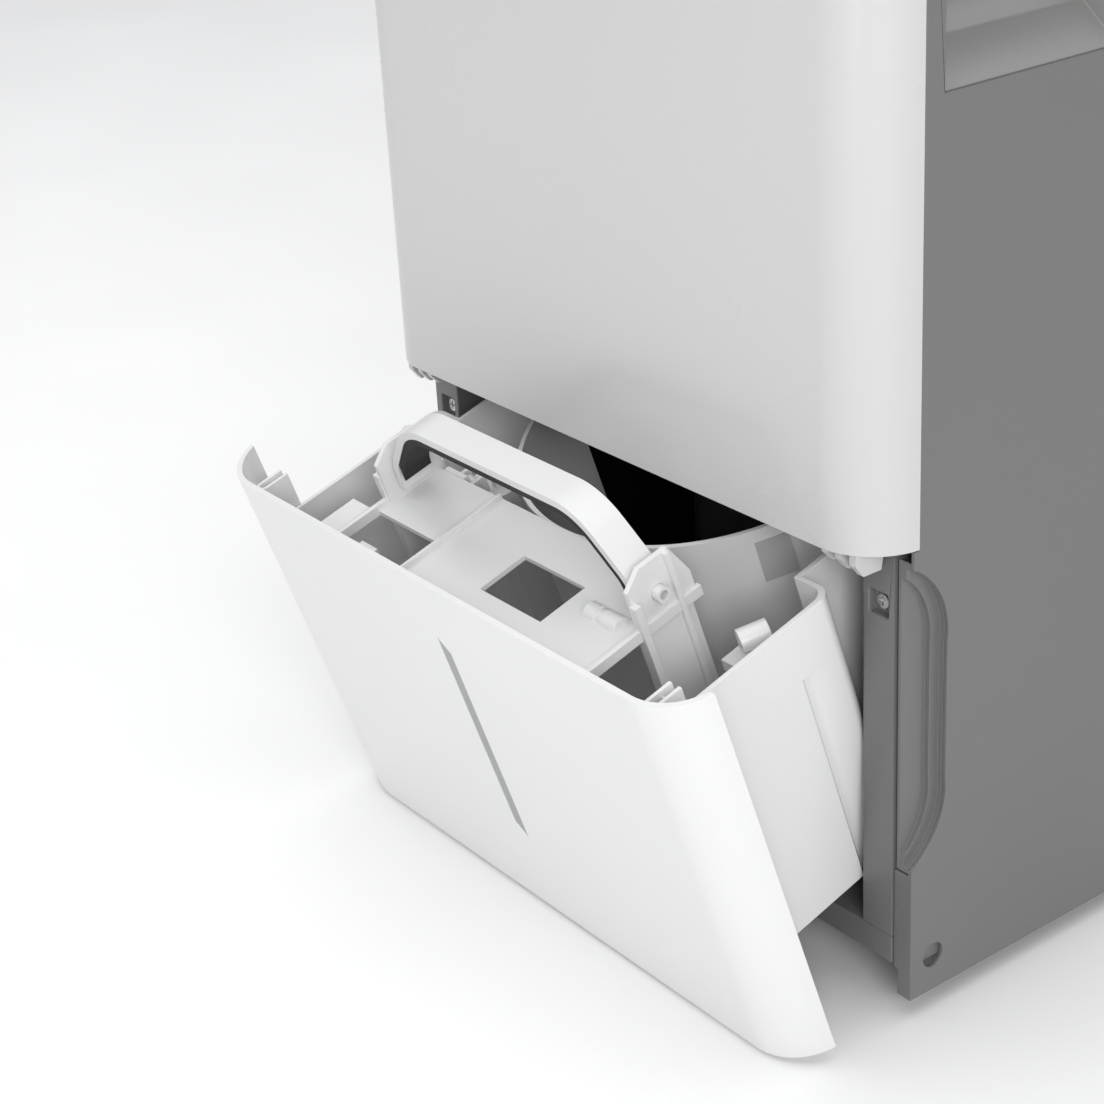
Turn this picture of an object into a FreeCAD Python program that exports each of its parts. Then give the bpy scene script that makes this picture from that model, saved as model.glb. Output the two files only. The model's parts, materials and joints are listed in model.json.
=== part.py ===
"""Dehumidifier: grey cabinet with a white front panel, and a water bucket drawn out and tipped forward.

Millimetres.  The model is designed with X to the right, Y to the back from the plane of the front
panel and Z up from the floor, with the bucket upright in its bay.  The bucket group is then drawn out
and tipped to its rest place, and everything is moved so that the origin is the middle of the
bounding box's base.
"""
import FreeCAD, Part
import math
import os

Vec = FreeCAD.Vector

# ---- driving dimensions ------------------------------------------------------------------------
WIDTH = 386.0               # cabinet, side to side
DEPTH = 282.0               # front panel's face to the cabinet's back
HEIGHT = 617.0              # floor to the top cover
FRONT_CORNER_R = 33.0
BACK_CORNER_R = 18.0
PANEL_BOTTOM = 255.0        # lower edge of the front panel
PANEL_SEAM_Y = 30.0         # seam between the front panel and the cabinet
SIDE_FRONT_Y = 27.0         # front edge of the cabinet's sides below the panel
SKIRT_BOTTOM = 12.0
PANEL_WALL = 3.0
CABINET_WALL = 2.5
COVER_THICK = 14.0          # top cover
LID_WALL = 3.0
GAP = 0.5                   # clearance between fixed pieces
RUN_GAP = 0.05              # radial clearance of a pin or shaft in its hole

BASE_UNDERSIDE = 29.0
BAY_FLOOR = 38.0
SIDE_DECK = 44.0
BASE_FRONT_Y = 26.0
COLUMN_INNER_X = 161.0
COLUMN_OUTER_X = 181.0
COLUMN_DEPTH = 34.0
BAY_ROOF = 268.0
BAY_BACK_Y = 188.0
LINER_WALL = 2.5
COMPRESSOR_Y = 204.0
COMPRESSOR_R = 70.0
BULGE_Y = 190.0             # centre of the round wall in front of the compressor
BULGE_R = 99.0

FASCIA_HEIGHT = 229.0
FASCIA_BOTTOM = 12.0
FASCIA_DEPTH = 23.8
TUB_X = 158.0
TUB_REAR_X = 137.0
TUB_FRONT_Y = 6.0
TUB_STEP_Y = 120.0
TUB_BACK_Y = 172.0
TUB_BOTTOM = 52.0
TUB_RIM = 213.0
TUB_WALL = 2.5
TUB_BULGE_GAP = 6.0         # between the tub and the round wall behind it
COVER_TOP = 217.0
COVER_WALL = 3.0
HANDLE_X = 103.0            # middle of the ears that hold the handle
EAR_THICK = 3.0
HANDLE_PIN_Y = 64.0
HANDLE_PIN_Z = 231.0
HANDLE_PIN_R = 4.0
HANDLE_RISE = 42.0
STRAP_DEPTH = 18.0
STRAP_THICK = 4.5
HANDLE_FOLD = 90.0

TILT = 17.53                # the bucket's tip at rest, in degrees
GLIDE_Y = 68.0              # the glide's pin with the bucket closed
GLIDE_Z = 48.0
GLIDE_OUT_Y = 10.0          # the same pin at rest
GLIDE_OUT_Z = 56.4
GLIDE_X = 100.0
GLIDE_PIN_R = 2.0
GLIDE_HALF = 5.5            # half the glide's length and height

BUTTON_COUNT = 5
BUTTON_R = 7.0
BUTTON_PITCH = 30.0
BUTTON_TRAVEL = 1.2
CONTROL_Y = 52.0
CONTROL_WIDTH = 230.0
CONTROL_DEPTH = 44.0
CONTROL_THICK = 4.0

OUTLET_WIDTH = 300.0
OUTLET_FRONT_Y = 120.0
OUTLET_BACK_Y = 230.0
LOUVRE_COUNT = 9
LOUVRE_THICK = 2.0

FILTER_X = 140.0            # half the width of the rear intake
FILTER_BOTTOM = 300.0
FILTER_TOP = 575.0
FILTER_DEPTH = 10.0
FILTER_BORDER = 12.0

CUP_FRONT_Y = 41.5
CUP_BACK_Y = 150.0
CUP_BOTTOM = 459.0
CUP_TOP = 500.0
CUP_DEPTH = 26.0
CUP_SLOPE = 17.0            # rise of the pocket's floor
CUP_LIFT = 12.0             # room for fingertips above the opening

CASTER_X = 150.0
CASTER_FRONT_Y = 58.0
CASTER_BACK_Y = 246.0
CASTER_WHEEL_R = 9.5
CASTER_WHEEL_WIDTH = 9.0
CASTER_TRAIL = 5.0
CASTER_AXLE_R = 1.5
CASTER_STEM_R = 3.0

DRAIN_X = 95.0
DRAIN_Z = 285.0
DRAIN_BORE_R = 8.0
DRAIN_LENGTH = 12.0
CORD_X = -150.0
CORD_Z = 70.0


# ---- small builders ----------------------------------------------------------------------------
def box(x0, x1, y0, y1, z0, z1):
    return Part.makeBox(x1 - x0, y1 - y0, z1 - z0, Vec(x0, y0, z0))


def rod(r, length, start, axis):
    return Part.makeCylinder(r, length, Vec(*start), Vec(*axis))


def both_sides(shape):
    """The shape and its mirror image across the middle plane."""
    return [shape, shape.mirror(Vec(0, 0, 0), Vec(1, 0, 0))]


def prism(points, z0, z1):
    """A straight-sided outline in plan, extruded upwards."""
    wire = Part.makePolygon([Vec(x, y, z0) for x, y in points + points[:1]])
    return Part.Face(wire).extrude(Vec(0, 0, z1 - z0))


def side_prism(points, x0, x1):
    """An outline in Y and Z, extruded along X."""
    wire = Part.makePolygon([Vec(x0, y, z) for y, z in points + points[:1]])
    return Part.Face(wire).extrude(Vec(x1 - x0, 0, 0))


def front_prism(points, y0, y1):
    """An outline in X and Z, extruded along Y."""
    wire = Part.makePolygon([Vec(x, y0, z) for x, z in points + points[:1]])
    return Part.Face(wire).extrude(Vec(0, y1 - y0, 0))


def rounded_block(half_x, y0, y1, z0, z1, r_front, r_back):
    """A block in plan with its upright edges rounded, the front ones by r_front, which may be
    more than the block's depth where its back is square."""
    back = y1 if r_back > 0 else max(y1, y0 + r_front + 5)
    shape = box(-half_x, half_x, y0, back, z0, z1)
    for r, y in ((r_front, y0), (r_back, back)):
        if r > 0:
            edges = [e for e in shape.Edges if is_upright(e) and abs(e.Vertexes[0].Y - y) < 1e-6]
            shape = shape.makeFillet(r, edges)
    return shape.common(box(-half_x - 1, half_x + 1, y0 - 1, y1, z0 - 1, z1 + 1))


def is_upright(edge):
    ends = [v.Point for v in edge.Vertexes]
    return len(ends) == 2 and math.hypot(ends[0].x - ends[1].x, ends[0].y - ends[1].y) < 1e-6


def corner_outline(x0, x1, y0, y1, z0, z1, r):
    """A block whose four upright edges are rounded alike."""
    shape = box(x0, x1, y0, y1, z0, z1)
    return shape.makeFillet(r, [e for e in shape.Edges if is_upright(e)])


def joined(shapes):
    whole = shapes[0].fuse(shapes[1:])
    return whole.removeSplitter()


# ---- cabinet -----------------------------------------------------------------------------------
HALF = WIDTH / 2.0
INNER = HALF - CABINET_WALL
COVER_BOTTOM = HEIGHT - COVER_THICK


def front_panel():
    outer = rounded_block(HALF, 0, PANEL_SEAM_Y, PANEL_BOTTOM, COVER_BOTTOM, FRONT_CORNER_R, 0)
    inner = rounded_block(HALF - PANEL_WALL, PANEL_WALL, PANEL_SEAM_Y + 1, PANEL_BOTTOM - 1,
                          COVER_BOTTOM + 1, FRONT_CORNER_R - PANEL_WALL, 0)
    tabs = []
    for x in (-TAB_X, TAB_X):
        for n, drop in enumerate(TAB_DROPS):
            place = x + (n - 1) * TAB_PITCH * (1 if x > 0 else -1)
            tabs.append(side_prism([(TAB_FRONT_Y, PANEL_BOTTOM + 8), (TAB_FRONT_Y, PANEL_BOTTOM - drop / 2),
                                    (TAB_FRONT_Y + 5, PANEL_BOTTOM - drop),
                                    (PANEL_SEAM_Y - 8, PANEL_BOTTOM - drop),
                                    (PANEL_SEAM_Y - 4, PANEL_BOTTOM + 8)],
                                   place - TAB_THICK / 2, place + TAB_THICK / 2))
        tabs.append(box(x - 1.5 * TAB_PITCH, x + 1.5 * TAB_PITCH, PANEL_WALL - 1, PANEL_SEAM_Y - 6,
                        PANEL_BOTTOM + 6, PANEL_BOTTOM + 8))
    within = rounded_block(HALF - 1, 1, PANEL_SEAM_Y, PANEL_BOTTOM - 2 * TAB_PITCH,
                           PANEL_BOTTOM + TAB_PITCH, FRONT_CORNER_R - 1, 0)
    return joined([outer.cut(inner)] + [tab.common(within) for tab in tabs])


def grip_block(grow, x0, x1):
    """The side grip recess in Y and Z, round at both ends and open at the front, along X."""
    front = SIDE_FRONT_Y - 5
    edge = SIDE_FRONT_Y + 1
    deep = SIDE_FRONT_Y + GRIP_REACH + grow
    knee = SIDE_FRONT_Y + 0.65 * GRIP_REACH + 0.7 * grow
    low, high = GRIP_BOTTOM - grow, GRIP_TOP + grow
    ends = [(front, low), (edge, low), (deep, GRIP_BOTTOM + GRIP_ROUND),
            (deep, GRIP_TOP - GRIP_ROUND), (edge, high), (front, high)]
    a, b, c, d, e, f = [Vec(x0, y, z) for y, z in ends]
    lower = Vec(x0, knee, GRIP_BOTTOM + 0.28 * GRIP_ROUND - 0.7 * grow)
    upper = Vec(x0, knee, GRIP_TOP - 0.28 * GRIP_ROUND + 0.7 * grow)
    edges = [Part.LineSegment(a, b).toShape(), Part.Arc(b, lower, c).toShape(),
             Part.LineSegment(c, d).toShape(), Part.Arc(d, upper, e).toShape(),
             Part.LineSegment(e, f).toShape(), Part.LineSegment(f, a).toShape()]
    return Part.Face(Part.Wire(edges)).extrude(Vec(x1 - x0, 0, 0))


TAB_X = 166.0              # middle of the snap tabs under the front panel
TAB_PITCH = 9.0
TAB_THICK = 4.0
TAB_FRONT_Y = 6.0
TAB_DROPS = (10.5, 11.5, 12.5)
SCREW_HOLE_Y = 42.6
SCREW_HOLE_Z = 32.2
SCREW_HOLE_R = 6.6
GRIP_DEPTH = 8.0
GRIP_BOTTOM = 87.0
GRIP_TOP = 245.0
GRIP_ROUND = 44.0          # height of each round end
GRIP_REACH = 22.0
GRIP_LEDGE = 6.0           # width of the ledge round the grip's floor
SKIRT_THICK = 9.0
FLANGE_STEP_Z = 28.0
BACK_SEAM_X = 172.0        # seams between the cabinet's back and its sides
HINGE_PIN_R = 1.5


def front_flange():
    """The thick lower front edge of one side, stepped above the skirt."""
    y0, y1 = SIDE_FRONT_Y, PANEL_SEAM_Y
    skirt = box(HALF - SKIRT_THICK, HALF - 1, y0, y1, SKIRT_BOTTOM, FLANGE_STEP_Z)
    upper = box(COLUMN_OUTER_X + GAP, HALF - 1, y0, y1, FLANGE_STEP_Z - 1, GRIP_BOTTOM - 4)
    return joined([skirt, upper])


def cabinet_shell():
    """The cabinet's two sides and its back before they are parted."""
    outer = rounded_block(HALF, PANEL_SEAM_Y, DEPTH, SKIRT_BOTTOM, COVER_BOTTOM, 0, BACK_CORNER_R)
    outer = outer.fuse(box(-HALF, HALF, SIDE_FRONT_Y, PANEL_SEAM_Y + 1,
                           SKIRT_BOTTOM, PANEL_BOTTOM - GAP))
    inner = rounded_block(INNER, SIDE_FRONT_Y - 1, DEPTH - CABINET_WALL, SKIRT_BOTTOM - 1,
                          COVER_BOTTOM + 1, 0, BACK_CORNER_R - CABINET_WALL)
    shell = outer.cut(inner)
    cuts = [box(-FILTER_X, FILTER_X, DEPTH - 10, DEPTH + 5, FILTER_BOTTOM, FILTER_TOP)]
    cuts += both_sides(box(INNER - 5, HALF + 5, CUP_FRONT_Y, CUP_BACK_Y, CUP_BOTTOM, CUP_TOP))
    cuts += both_sides(rod(SCREW_HOLE_R, 20, (HALF - 10, SCREW_HOLE_Y, SCREW_HOLE_Z), (1, 0, 0)))
    cuts += both_sides(grip_block(0, INNER - 1, HALF + 1))
    cuts.append(rod(DRAIN_BORE_R + 5, 20, (DRAIN_X, DEPTH - 10, DRAIN_Z), (0, 1, 0)))
    cuts.append(rod(9, 20, (CORD_X, DEPTH - 10, CORD_Z), (0, 1, 0)))
    for cut in cuts:
        shell = shell.cut(cut)
    return joined([shell] + both_sides(front_flange()))


def cabinet_side(shell):
    """The right side with its rear corner."""
    return shell.common(box(BACK_SEAM_X + GAP / 2, HALF + 1, 0, DEPTH + 1, 0, HEIGHT))


def cabinet_back(shell):
    """The flat back between the two sides, with the lugs that hold the filter's pins."""
    half = BACK_SEAM_X - GAP / 2
    back = shell.common(box(-half, half, 0, DEPTH + 1, 0, HEIGHT))
    lug = box(FILTER_X + 1, FILTER_X + 5, HINGE_Y - 4, DEPTH - 1, HINGE_Z - 4, HINGE_Z + 4)
    hole = rod(HINGE_PIN_R + RUN_GAP, 2 * FILTER_X + 20, (-FILTER_X - 10, HINGE_Y, HINGE_Z), (1, 0, 0))
    return joined([back] + both_sides(lug)).cut(hole)


def grip_pan():
    """The dished floor of one side grip, set inside the cabinet's side."""
    x0 = INNER - GRIP_DEPTH
    outer = grip_block(3, x0, INNER - 0.05)
    ledge = grip_block(0, x0 + 5, INNER + 1)
    hollow = grip_block(-GRIP_LEDGE, x0 + 2, INNER + 1)
    front = box(x0 - 1, INNER + 1, 0, SIDE_FRONT_Y + 0.5, 0, HEIGHT)
    return outer.cut(ledge).cut(hollow).cut(front)


def handle_cup():
    """One side handle: a pocket with a sloping floor behind the opening in the cabinet's side."""
    wall = 2.5
    x0 = HALF - CUP_DEPTH
    outer = front_prism([(x0, CUP_BOTTOM + CUP_SLOPE - wall), (INNER - 0.05, CUP_BOTTOM - wall),
                         (INNER - 0.05, CUP_TOP + CUP_LIFT + wall), (x0, CUP_TOP + CUP_LIFT + wall)],
                        CUP_FRONT_Y - wall, CUP_BACK_Y + wall)
    hollow = front_prism([(x0 + wall, CUP_BOTTOM + CUP_SLOPE), (INNER, CUP_BOTTOM),
                          (HALF, CUP_BOTTOM), (HALF, CUP_TOP), (INNER - wall, CUP_TOP),
                          (INNER - wall, CUP_TOP + CUP_LIFT), (x0 + wall, CUP_TOP + CUP_LIFT)],
                         CUP_FRONT_Y, CUP_BACK_Y)
    return outer.cut(hollow)


def outlet_box(z0, z1):
    return box(-OUTLET_WIDTH / 2, OUTLET_WIDTH / 2, OUTLET_FRONT_Y, OUTLET_BACK_Y, z0, z1)


def control_box(z0, z1, grow=0.0):
    return box(-CONTROL_WIDTH / 2 - grow, CONTROL_WIDTH / 2 + grow,
               CONTROL_Y - CONTROL_DEPTH / 2 - grow, CONTROL_Y + CONTROL_DEPTH / 2 + grow, z0, z1)


def top_cover():
    outer = rounded_block(HALF, 0, DEPTH, COVER_BOTTOM + GAP, HEIGHT, FRONT_CORNER_R, BACK_CORNER_R)
    rim = [e for e in outer.Edges if min(v.Z for v in e.Vertexes) > HEIGHT - 1e-6]
    outer = outer.makeFillet(5.0, rim)
    inner = rounded_block(HALF - LID_WALL, LID_WALL, DEPTH - LID_WALL, COVER_BOTTOM - 1,
                          HEIGHT - LID_WALL, FRONT_CORNER_R - LID_WALL, BACK_CORNER_R - LID_WALL)
    cover = outer.cut(inner)
    return cover.cut(outlet_box(COVER_BOTTOM, HEIGHT + 1)).cut(control_box(COVER_BOTTOM, HEIGHT + 1))


def outlet_grille():
    """Louvres in a frame that drops into the outlet of the top cover."""
    depth = 8.0
    border = 5.0
    x = OUTLET_WIDTH / 2 - GAP
    y0 = OUTLET_FRONT_Y + GAP
    y1 = OUTLET_BACK_Y - GAP
    z0 = HEIGHT - depth
    frame = box(-x, x, y0, y1, z0, HEIGHT - 0.5)
    frame = frame.cut(box(-x + border, x - border, y0 + border, y1 - border, z0 - 1, HEIGHT + 1))
    pitch = (y1 - y0 - 2 * border) / (LOUVRE_COUNT + 1)
    bars = [box(-x + border - 1, x - border + 1, y - LOUVRE_THICK / 2, y + LOUVRE_THICK / 2,
                z0, HEIGHT - 1) for y in (y0 + border + pitch * (n + 1) for n in range(LOUVRE_COUNT))]
    bars.append(box(-1.5, 1.5, y0 + border - 1, y1 - border + 1, z0, HEIGHT - 2))
    return joined([frame] + bars)


DISPLAY_HALF = 22.0


def button_x(n):
    side = -1 if n < (BUTTON_COUNT + 1) // 2 else 1
    place = n if n < (BUTTON_COUNT + 1) // 2 else n - (BUTTON_COUNT + 1) // 2
    return side * (DISPLAY_HALF + 16 + place * BUTTON_PITCH)


def control_panel():
    plate = control_box(HEIGHT - CONTROL_THICK, HEIGHT - 0.6, -GAP)
    plate = plate.cut(box(-DISPLAY_HALF, DISPLAY_HALF, CONTROL_Y - 10, CONTROL_Y + 10,
                          HEIGHT - 10, HEIGHT + 1))
    for n in range(BUTTON_COUNT):
        plate = plate.cut(rod(BUTTON_R + 0.4, 20, (button_x(n), CONTROL_Y, HEIGHT - 10), (0, 0, 1)))
    return plate


def display_window():
    g = 0.1
    return box(-DISPLAY_HALF + g, DISPLAY_HALF - g, CONTROL_Y - 10 + g, CONTROL_Y + 10 - g,
               HEIGHT - CONTROL_THICK, HEIGHT - 0.9)


def button(n):
    cap = rod(BUTTON_R, 5.0, (button_x(n), CONTROL_Y, HEIGHT - 4.5), (0, 0, 1))
    flange = rod(BUTTON_R + 1.2, 1.0, (button_x(n), CONTROL_Y, HEIGHT - 5.4), (0, 0, 1))
    return joined([cap, flange])


def control_board():
    return box(-110, 110, CONTROL_Y - 18, CONTROL_Y + 18, HEIGHT - 9.6, HEIGHT - 8.0)


# ---- base and bucket bay -----------------------------------------------------------------------
RAMP_GAP = 1.2              # under the flat shoes on the sloping ramps


def ramp_height(y):
    """Top of the two ramps on which the bucket's glides run."""
    slope = (GLIDE_OUT_Z - GLIDE_Z) / (GLIDE_OUT_Y - GLIDE_Y)
    return GLIDE_Z - GLIDE_HALF - RAMP_GAP + slope * (y - GLIDE_Y)


BASE_TONGUE_Y = PANEL_WALL + 1.5


def base_pan():
    x = INNER - GAP
    back = DEPTH - CABINET_WALL - GAP
    slab = rounded_block(x, BASE_FRONT_Y, back, BASE_UNDERSIDE, BAY_FLOOR, 0,
                         BACK_CORNER_R - CABINET_WALL)
    tongue = box(-122, 122, BASE_TONGUE_Y, BASE_FRONT_Y + 20, BASE_UNDERSIDE, BAY_FLOOR)
    parts = [slab, tongue]
    parts += both_sides(box(128, x - 8, BASE_FRONT_Y + 0.0, back - 20, BAY_FLOOR - 1, SIDE_DECK))
    y0, y1 = BASE_TONGUE_Y, GLIDE_Y + 12
    ramp = side_prism([(y0, BAY_FLOOR - 1), (y1, BAY_FLOOR - 1), (y1, ramp_height(y1)),
                       (y0 + 6, ramp_height(y0 + 6)), (y0, ramp_height(y0) - 1.8)],
                      GLIDE_X - 8, GLIDE_X + 8)
    parts += both_sides(ramp)
    pan = joined(parts)
    for corner in both_sides(box(COLUMN_OUTER_X, HALF, 0, PANEL_SEAM_Y + GAP, 0, SIDE_DECK + 1)):
        pan = pan.cut(corner)
    for x_, y_ in caster_places():
        pan = pan.cut(rod(CASTER_STEM_R + RUN_GAP, 6, (x_, y_, BASE_UNDERSIDE - 1), (0, 0, 1)))
    return pan


def column():
    """One front post of the bay: a channel open to the back, with a square screw pocket."""
    x0, x1 = COLUMN_INNER_X, COLUMN_OUTER_X
    y0, y1 = BASE_FRONT_Y, BASE_FRONT_Y + COLUMN_DEPTH
    top = PANEL_BOTTOM - 2
    post = box(x0, x1, y0, y1, SIDE_DECK, top).cut(box(x0 + 2.5, x1 - 2.5, y0 + 8, y1 + 1,
                                                       SIDE_DECK - 1, top - 3))
    pocket = box(x0 + 4, x0 + 16, y0 - 1, y0 + 5, POCKET_Z - 6, POCKET_Z + 6)
    return post.cut(pocket)


POCKET_Z = 222.0


def column_screw():
    """The cross-head screw in the pocket of one post."""
    x = COLUMN_INNER_X + 10
    y = BASE_FRONT_Y + 5
    head = rod(3.6, 2.0, (x, y, POCKET_Z), (0, -1, 0))
    for bar in (box(x - 2.4, x + 2.4, y - 2.5, y - 1.0, POCKET_Z - 0.5, POCKET_Z + 0.5),
                box(x - 0.5, x + 0.5, y - 2.5, y - 1.0, POCKET_Z - 2.4, POCKET_Z + 2.4)):
        head = head.cut(bar)
    return head


def bay_liner():
    """Walls and roof of the bucket bay, with a round wall in front of the compressor."""
    x = COLUMN_INNER_X + LINER_WALL + 2
    y0 = BASE_FRONT_Y + COLUMN_DEPTH + GAP
    z0 = SIDE_DECK + GAP
    z1 = BAY_ROOF + LINER_WALL
    block = box(-x, x, y0, BAY_BACK_Y + LINER_WALL, z0, z1)
    inner = box(-x + LINER_WALL, x - LINER_WALL, y0 - 1, BAY_BACK_Y, z0 - 1, BAY_ROOF)
    walls = block.cut(inner)
    half = box(-x, x, 0, BAY_BACK_Y + LINER_WALL, z0, z1)
    bulge = rod(BULGE_R, z1 - z0, (0, BULGE_Y, z0), (0, 0, 1)).common(half)
    hollow = rod(BULGE_R - LINER_WALL, z1 - z0 - LINER_WALL, (0, BULGE_Y, z0 - 1), (0, 0, 1))
    liner = joined([walls, bulge]).cut(hollow)
    roof = box(-x, x, PANEL_WALL + GAP, y0 + 1, BAY_ROOF, z1)
    return joined([liner, roof.cut(roof_corners())])


def roof_corners():
    """What the rounded corners of the front panel take from the bay's roof."""
    cuts = []
    for side in (-1, 1):
        x = side * (COLUMN_INNER_X + LINER_WALL + 2)
        cuts.append(box(min(x, x - side * 12), max(x, x - side * 12), 0, PANEL_WALL + 12,
                        BAY_ROOF - 1, BAY_ROOF + 10))
    return cuts[0].fuse(cuts[1])


def bucket_switch():
    """The switch that feels the bucket, on the bay's roof."""
    return box(-150, -130, 150, 172, BAY_ROOF - 12, BAY_ROOF - 0.1)


def drip_tray():
    x = 160.0
    y0, y1 = 205.0, DEPTH - CABINET_WALL - FILTER_DEPTH - 4
    z0 = BAY_ROOF + LINER_WALL + 8
    tray = box(-x, x, y0, y1, z0, z0 + 16).cut(box(-x + 2, x - 2, y0 + 2, y1 - 2, z0 + 2, z0 + 20))
    return tray


TRAY_TOP = BAY_ROOF + LINER_WALL + 24
COIL_TOP = 560.0
COIL_TUBE_R = 4.0
FIN_COUNT = 23
FIN_THICK = 1.2


def coil(y0, y1):
    """A finned heat exchanger: upright fins on tubes between two end plates."""
    x = 135.0
    z0 = TRAY_TOP + 2
    pitch = 2 * x / (FIN_COUNT + 1)
    fins = [box(-x + pitch * (n + 1) - FIN_THICK / 2, -x + pitch * (n + 1) + FIN_THICK / 2,
                y0, y1, z0, COIL_TOP) for n in range(FIN_COUNT)]
    tubes = [rod(COIL_TUBE_R, 2 * x, (-x, (y0 + y1) / 2, z0 + (COIL_TOP - z0) * (n + 0.5) / 4), (1, 0, 0))
             for n in range(4)]
    plates = both_sides(box(x - 1, x + 1, y0 - 1, y1 + 1, z0 - 1, COIL_TOP + 2))
    return joined(tubes + fins + plates)


def evaporator():
    return coil(244, 262)


def condenser():
    return coil(212, 238)


COMPRESSOR_BOTTOM = BAY_FLOOR + 12
COMPRESSOR_TOP = 246.0
COMPRESSOR_WALL = 5.0


def compressor():
    body = rod(COMPRESSOR_R, COMPRESSOR_TOP - COMPRESSOR_BOTTOM, (0, COMPRESSOR_Y, COMPRESSOR_BOTTOM),
               (0, 0, 1))
    ends = [e for e in body.Edges if len(e.Vertexes) == 1]
    wall = COMPRESSOR_WALL
    hollow = rod(COMPRESSOR_R - wall, COMPRESSOR_TOP - COMPRESSOR_BOTTOM - 2 * wall,
                 (0, COMPRESSOR_Y, COMPRESSOR_BOTTOM + wall), (0, 0, 1))
    hollow = hollow.makeFillet(14.0, [e for e in hollow.Edges if len(e.Vertexes) == 1])
    port = rod(5, 3 * wall, (30, COMPRESSOR_Y, COMPRESSOR_TOP - 2 * wall), (0, 0, 1))
    return body.makeFillet(18.0, ends).cut(hollow).cut(port)


def compressor_feet():
    """Three rubber mounts under the compressor."""
    feet = []
    for n in range(3):
        a = math.radians(90 + 120 * n)
        x, y = 45 * math.cos(a), COMPRESSOR_Y + 45 * math.sin(a)
        feet.append(rod(8, COMPRESSOR_BOTTOM - BAY_FLOOR, (x, y, BAY_FLOOR), (0, 0, 1)))
    return feet


def accumulator():
    return rod(17, 110, (100, 238, 90), (0, 0, 1))


FAN_X = 0.0
FAN_Z = 430.0
FAN_FRONT_Y = 112.0
FAN_BACK_Y = 196.0
FAN_R = 95.0
SCROLL_R = 125.0


def fan_scroll():
    """The blower's housing, open to the coils behind and to the outlet above."""
    depth = FAN_BACK_Y - FAN_FRONT_Y
    outer = joined([rod(SCROLL_R, depth, (FAN_X, FAN_FRONT_Y, FAN_Z), (0, 1, 0)),
                    box(-SCROLL_R, SCROLL_R, FAN_FRONT_Y, FAN_BACK_Y, FAN_Z, 596)])
    wall = 2.5
    inner = joined([rod(SCROLL_R - wall, depth - 2 * wall, (FAN_X, FAN_FRONT_Y + wall, FAN_Z), (0, 1, 0)),
                    box(-SCROLL_R + wall, SCROLL_R - wall, FAN_FRONT_Y + wall, FAN_BACK_Y - wall,
                        FAN_Z, 600)])
    inlet = rod(FAN_R - 12, 10, (FAN_X, FAN_BACK_Y - 5, FAN_Z), (0, 1, 0))
    shaft = rod(8, 10, (FAN_X, FAN_FRONT_Y - 5, FAN_Z), (0, 1, 0))
    return outer.cut(inner).cut(inlet).cut(shaft)


def fan_motor():
    body = rod(38, 44, (FAN_X, FAN_FRONT_Y - 46, FAN_Z), (0, 1, 0))
    return joined([body, rod(4, 90, (FAN_X, FAN_FRONT_Y - 5, FAN_Z), (0, 1, 0))])


def blower_wheel():
    """A squirrel-cage wheel: back plate, hub and a ring of blades."""
    y0 = FAN_FRONT_Y + 8
    depth = 60.0
    parts = [rod(FAN_R, 3, (FAN_X, y0, FAN_Z), (0, 1, 0)), rod(12, 34, (FAN_X, y0, FAN_Z), (0, 1, 0))]
    ring = rod(FAN_R, 3, (FAN_X, y0 + depth - 3, FAN_Z), (0, 1, 0)).cut(
        rod(FAN_R - 14, 5, (FAN_X, y0 + depth - 4, FAN_Z), (0, 1, 0)))
    parts.append(ring)
    blade = box(FAN_R - 13, FAN_R - 1, y0 + 1, y0 + depth - 1, -1.0, 1.0)
    count = 24
    for n in range(count):
        one = blade.copy()
        one.rotate(Vec(0, 0, 0), Vec(0, 1, 0), 360.0 * n / count)
        one.translate(Vec(FAN_X, 0, FAN_Z))
        parts.append(one)
    wheel = joined(parts)
    return wheel.cut(rod(4 + RUN_GAP, 120, (FAN_X, y0 - 20, FAN_Z), (0, 1, 0)))


def power_board():
    return box(120, 175, 60, 62, 300, 420)


def run_capacitor():
    return rod(16, 70, (155, 85, 300), (0, 0, 1))


def humidity_sensor():
    return box(-170, -150, 236, 246, 500, 530)


def drain_port():
    """The hose spigot through the back of the cabinet."""
    y0 = DEPTH - DRAIN_LENGTH
    ring = rod(DRAIN_BORE_R + 5 - 0.1, DRAIN_LENGTH, (DRAIN_X, y0, DRAIN_Z), (0, 1, 0))
    return ring.cut(rod(DRAIN_BORE_R, DRAIN_LENGTH + 2, (DRAIN_X, y0 - 1, DRAIN_Z), (0, 1, 0)))


def cord_inlet():
    """The bush where the mains cord would enter."""
    y0 = DEPTH - 8
    ring = rod(9 - 0.1, 8, (CORD_X, y0, CORD_Z), (0, 1, 0))
    return ring.cut(rod(4, 12, (CORD_X, y0 - 1, CORD_Z), (0, 1, 0)))


def intake_frame(y0, y1, border, gap):
    x = FILTER_X - gap
    z0, z1 = FILTER_BOTTOM + gap, FILTER_TOP - gap
    frame = box(-x, x, y0, y1, z0, z1)
    return frame.cut(box(-x + border, x - border, y0 - 1, y1 + 1, z0 + border, z1 - border))


FILTER_GAP = 1.5
HINGE_Z = FILTER_BOTTOM + 5.5
HINGE_Y = DEPTH - 4.0


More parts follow.
